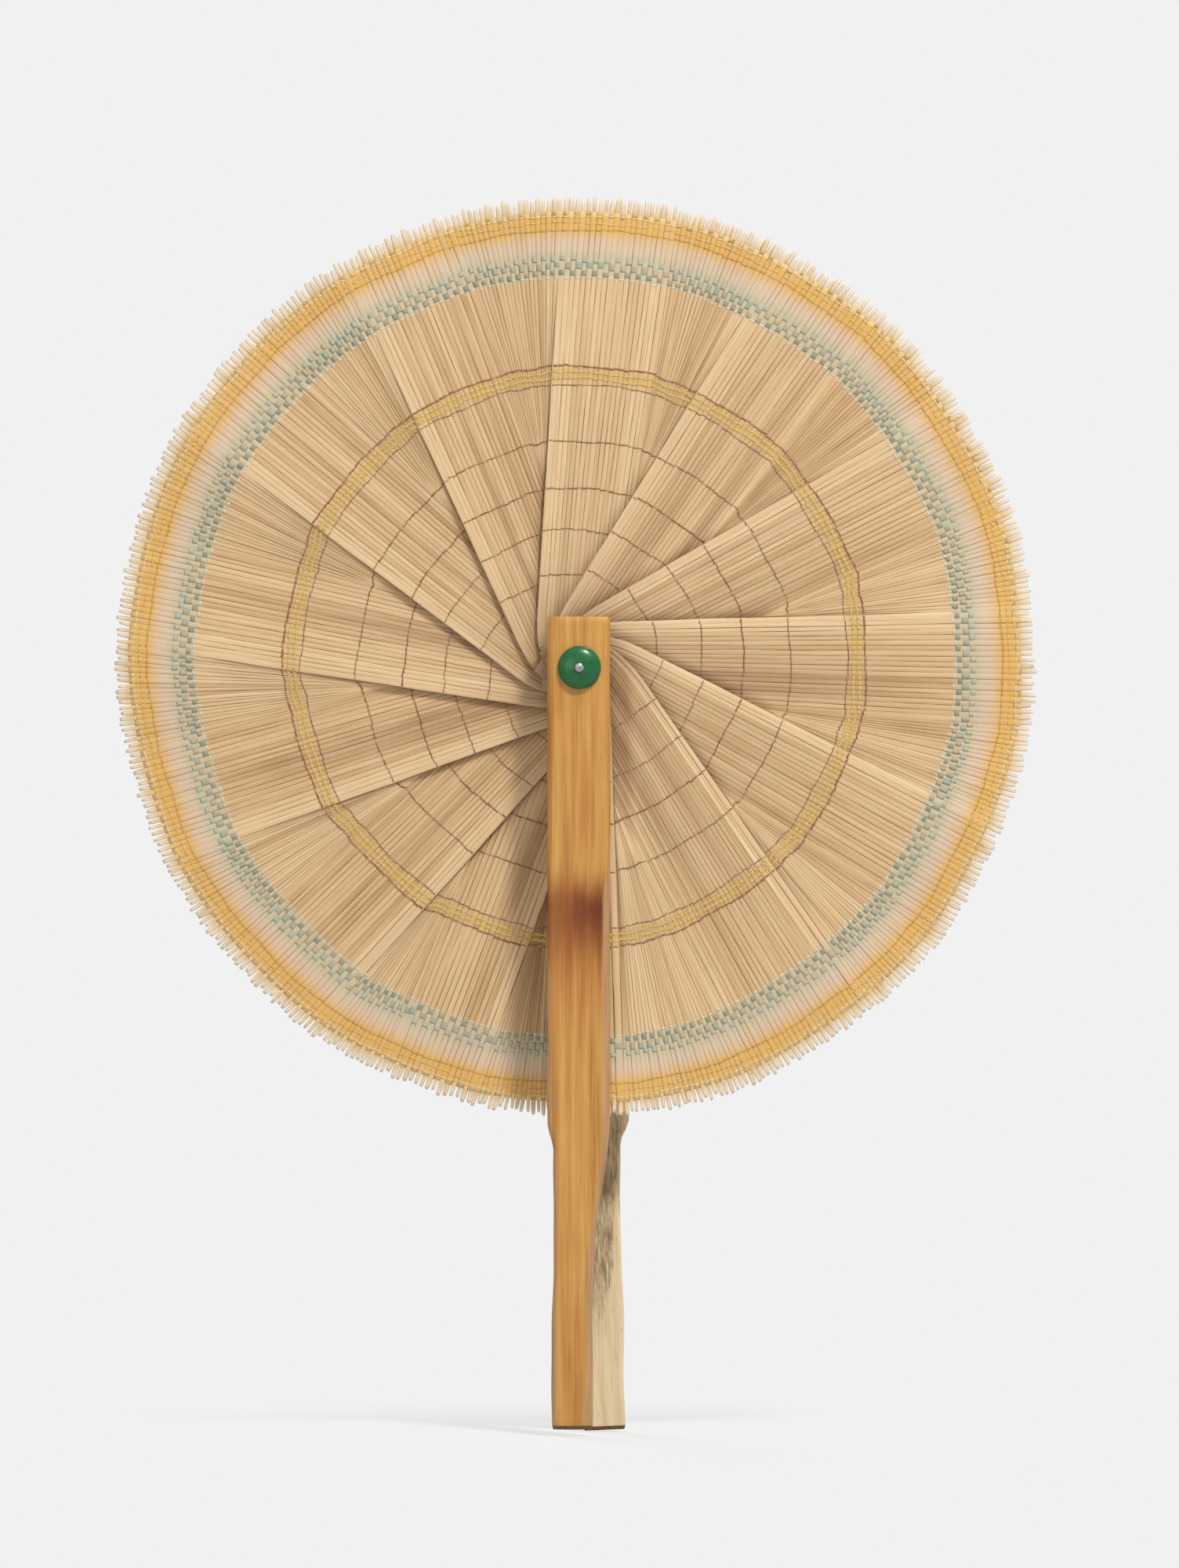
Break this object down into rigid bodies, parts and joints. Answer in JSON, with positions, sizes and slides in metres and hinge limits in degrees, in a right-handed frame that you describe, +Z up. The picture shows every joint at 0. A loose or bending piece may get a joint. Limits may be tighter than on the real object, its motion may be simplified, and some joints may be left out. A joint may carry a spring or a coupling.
{
  "type": "folding fan",
  "caption": "Round pleated hand fan of straw splints on a rivet between two bamboo sticks; the rear stick swings right round to open it to a disc or close it to a stack.",
  "frame": {"origin": "on the flat front face of the front stick's handle, where the thumb holds it", "axes": "+Z up along the handle to the pin, -Y out of the front, +X to the right as seen from the front"},
  "size_m": [0.2826, 0.0323, 0.3793],
  "materials": {
    "bamboo_skin": "smooth golden bamboo skin with a scorched band",
    "bamboo_inner": "pale split inner face of bamboo",
    "straw_mat": "flat straw splints bound with threads and yarn bands",
    "green_cap": "glossy green enamel",
    "rivet_metal": "plain bright wire and sheet"
  },
  "bodies": {
    "front_guard": {"front_stick": "bamboo_skin", "pivot_pin": "rivet_metal", "pin_cap": "green_cap", "rear_washer": "rivet_metal", "leaf_face_01": "straw_mat"},
    "return_01": {"leaf_return_01": "straw_mat"},
    "face_02": {"leaf_face_02": "straw_mat"},
    "return_02": {"leaf_return_02": "straw_mat"},
    "face_03": {"leaf_face_03": "straw_mat"},
    "return_03": {"leaf_return_03": "straw_mat"},
    "face_04": {"leaf_face_04": "straw_mat"},
    "return_04": {"leaf_return_04": "straw_mat"},
    "face_05": {"leaf_face_05": "straw_mat"},
    "return_05": {"leaf_return_05": "straw_mat"},
    "face_06": {"leaf_face_06": "straw_mat"},
    "return_06": {"leaf_return_06": "straw_mat"},
    "face_07": {"leaf_face_07": "straw_mat"},
    "return_07": {"leaf_return_07": "straw_mat"},
    "face_08": {"leaf_face_08": "straw_mat"},
    "return_08": {"leaf_return_08": "straw_mat"},
    "face_09": {"leaf_face_09": "straw_mat"},
    "return_09": {"leaf_return_09": "straw_mat"},
    "face_10": {"leaf_face_10": "straw_mat"},
    "return_10": {"leaf_return_10": "straw_mat"},
    "face_11": {"leaf_face_11": "straw_mat"},
    "return_11": {"leaf_return_11": "straw_mat"},
    "face_12": {"leaf_face_12": "straw_mat"},
    "return_12": {"leaf_return_12": "straw_mat"},
    "face_13": {"leaf_face_13": "straw_mat"},
    "return_13": {"leaf_return_13": "straw_mat"},
    "rear_guard": {"rear_stick": "bamboo_inner", "leaf_face_14": "straw_mat"}
  },
  "joints": [
    {"name": "fan_fold", "type": "hinge", "parent": "front_guard", "child": "face_02", "pos_m": [0.0021, 0.0122, 0.205], "axis": [0, 1, 0], "range_deg": [0, 35]},
    {"name": "fold_02", "type": "hinge", "parent": "face_02", "child": "face_03", "pos_m": [0.0021, 0.0122, 0.205], "axis": [0, 1, 0], "range_deg": [0, 28.3]},
    {"name": "fold_03", "type": "hinge", "parent": "face_03", "child": "face_04", "pos_m": [0.0021, 0.0122, 0.205], "axis": [0, 1, 0], "range_deg": [0, 28.3]},
    {"name": "fold_04", "type": "hinge", "parent": "face_04", "child": "face_05", "pos_m": [0.0021, 0.0122, 0.205], "axis": [0, 1, 0], "range_deg": [0, 28.3]},
    {"name": "fold_05", "type": "hinge", "parent": "face_05", "child": "face_06", "pos_m": [0.0021, 0.0122, 0.205], "axis": [0, 1, 0], "range_deg": [0, 28.3]},
    {"name": "fold_06", "type": "hinge", "parent": "face_06", "child": "face_07", "pos_m": [0.0021, 0.0122, 0.205], "axis": [0, 1, 0], "range_deg": [0, 28.3]},
    {"name": "fold_07", "type": "hinge", "parent": "face_07", "child": "face_08", "pos_m": [0.0021, 0.0122, 0.205], "axis": [0, 1, 0], "range_deg": [0, 28.3]},
    {"name": "fold_08", "type": "hinge", "parent": "face_08", "child": "face_09", "pos_m": [0.0021, 0.0122, 0.205], "axis": [0, 1, 0], "range_deg": [0, 28.3]},
    {"name": "fold_09", "type": "hinge", "parent": "face_09", "child": "face_10", "pos_m": [0.0021, 0.0122, 0.205], "axis": [0, 1, 0], "range_deg": [0, 28.3]},
    {"name": "fold_10", "type": "hinge", "parent": "face_10", "child": "face_11", "pos_m": [0.0021, 0.0122, 0.205], "axis": [0, 1, 0], "range_deg": [0, 28.3]},
    {"name": "fold_11", "type": "hinge", "parent": "face_11", "child": "face_12", "pos_m": [0.0021, 0.0122, 0.205], "axis": [0, 1, 0], "range_deg": [0, 28.3]},
    {"name": "fold_12", "type": "hinge", "parent": "face_12", "child": "face_13", "pos_m": [0.0021, 0.0122, 0.205], "axis": [0, 1, 0], "range_deg": [0, 22.2]},
    {"name": "fold_13", "type": "hinge", "parent": "face_13", "child": "rear_guard", "pos_m": [0.0021, 0.0122, 0.205], "axis": [0, 1, 0], "range_deg": [0, 22.2]},
    {"name": "turn_01", "type": "hinge", "parent": "front_guard", "child": "return_01", "pos_m": [0.0021, 0.0122, 0.205], "axis": [0, 1, 0], "range_deg": [0, 17.5]},
    {"name": "turn_02", "type": "hinge", "parent": "face_02", "child": "return_02", "pos_m": [0.0021, 0.0122, 0.205], "axis": [0, 1, 0], "range_deg": [0, 14.15]},
    {"name": "turn_03", "type": "hinge", "parent": "face_03", "child": "return_03", "pos_m": [0.0021, 0.0122, 0.205], "axis": [0, 1, 0], "range_deg": [0, 14.15]},
    {"name": "turn_04", "type": "hinge", "parent": "face_04", "child": "return_04", "pos_m": [0.0021, 0.0122, 0.205], "axis": [0, 1, 0], "range_deg": [0, 14.15]},
    {"name": "turn_05", "type": "hinge", "parent": "face_05", "child": "return_05", "pos_m": [0.0021, 0.0122, 0.205], "axis": [0, 1, 0], "range_deg": [0, 14.15]},
    {"name": "turn_06", "type": "hinge", "parent": "face_06", "child": "return_06", "pos_m": [0.0021, 0.0122, 0.205], "axis": [0, 1, 0], "range_deg": [0, 14.15]},
    {"name": "turn_07", "type": "hinge", "parent": "face_07", "child": "return_07", "pos_m": [0.0021, 0.0122, 0.205], "axis": [0, 1, 0], "range_deg": [0, 14.15]},
    {"name": "turn_08", "type": "hinge", "parent": "face_08", "child": "return_08", "pos_m": [0.0021, 0.0122, 0.205], "axis": [0, 1, 0], "range_deg": [0, 14.15]},
    {"name": "turn_09", "type": "hinge", "parent": "face_09", "child": "return_09", "pos_m": [0.0021, 0.0122, 0.205], "axis": [0, 1, 0], "range_deg": [0, 14.15]},
    {"name": "turn_10", "type": "hinge", "parent": "face_10", "child": "return_10", "pos_m": [0.0021, 0.0122, 0.205], "axis": [0, 1, 0], "range_deg": [0, 14.15]},
    {"name": "turn_11", "type": "hinge", "parent": "face_11", "child": "return_11", "pos_m": [0.0021, 0.0122, 0.205], "axis": [0, 1, 0], "range_deg": [0, 14.15]},
    {"name": "turn_12", "type": "hinge", "parent": "face_12", "child": "return_12", "pos_m": [0.0021, 0.0122, 0.205], "axis": [0, 1, 0], "range_deg": [0, 11.1]},
    {"name": "turn_13", "type": "hinge", "parent": "face_13", "child": "return_13", "pos_m": [0.0021, 0.0122, 0.205], "axis": [0, 1, 0], "range_deg": [0, 11.1]}
  ],
  "couplings": [
    {"joint": "fold_02", "follows": "fan_fold", "ratio": 0.80857},
    {"joint": "fold_03", "follows": "fan_fold", "ratio": 0.80857},
    {"joint": "fold_04", "follows": "fan_fold", "ratio": 0.80857},
    {"joint": "fold_05", "follows": "fan_fold", "ratio": 0.80857},
    {"joint": "fold_06", "follows": "fan_fold", "ratio": 0.80857},
    {"joint": "fold_07", "follows": "fan_fold", "ratio": 0.80857},
    {"joint": "fold_08", "follows": "fan_fold", "ratio": 0.80857},
    {"joint": "fold_09", "follows": "fan_fold", "ratio": 0.80857},
    {"joint": "fold_10", "follows": "fan_fold", "ratio": 0.80857},
    {"joint": "fold_11", "follows": "fan_fold", "ratio": 0.80857},
    {"joint": "fold_12", "follows": "fan_fold", "ratio": 0.63428},
    {"joint": "fold_13", "follows": "fan_fold", "ratio": 0.63428},
    {"joint": "turn_01", "follows": "fan_fold", "ratio": 0.5},
    {"joint": "turn_02", "follows": "fan_fold", "ratio": 0.40428},
    {"joint": "turn_03", "follows": "fan_fold", "ratio": 0.40428},
    {"joint": "turn_04", "follows": "fan_fold", "ratio": 0.40428},
    {"joint": "turn_05", "follows": "fan_fold", "ratio": 0.40428},
    {"joint": "turn_06", "follows": "fan_fold", "ratio": 0.40428},
    {"joint": "turn_07", "follows": "fan_fold", "ratio": 0.40428},
    {"joint": "turn_08", "follows": "fan_fold", "ratio": 0.40428},
    {"joint": "turn_09", "follows": "fan_fold", "ratio": 0.40428},
    {"joint": "turn_10", "follows": "fan_fold", "ratio": 0.40428},
    {"joint": "turn_11", "follows": "fan_fold", "ratio": 0.40428},
    {"joint": "turn_12", "follows": "fan_fold", "ratio": 0.31714},
    {"joint": "turn_13", "follows": "fan_fold", "ratio": 0.31714}
  ]
}
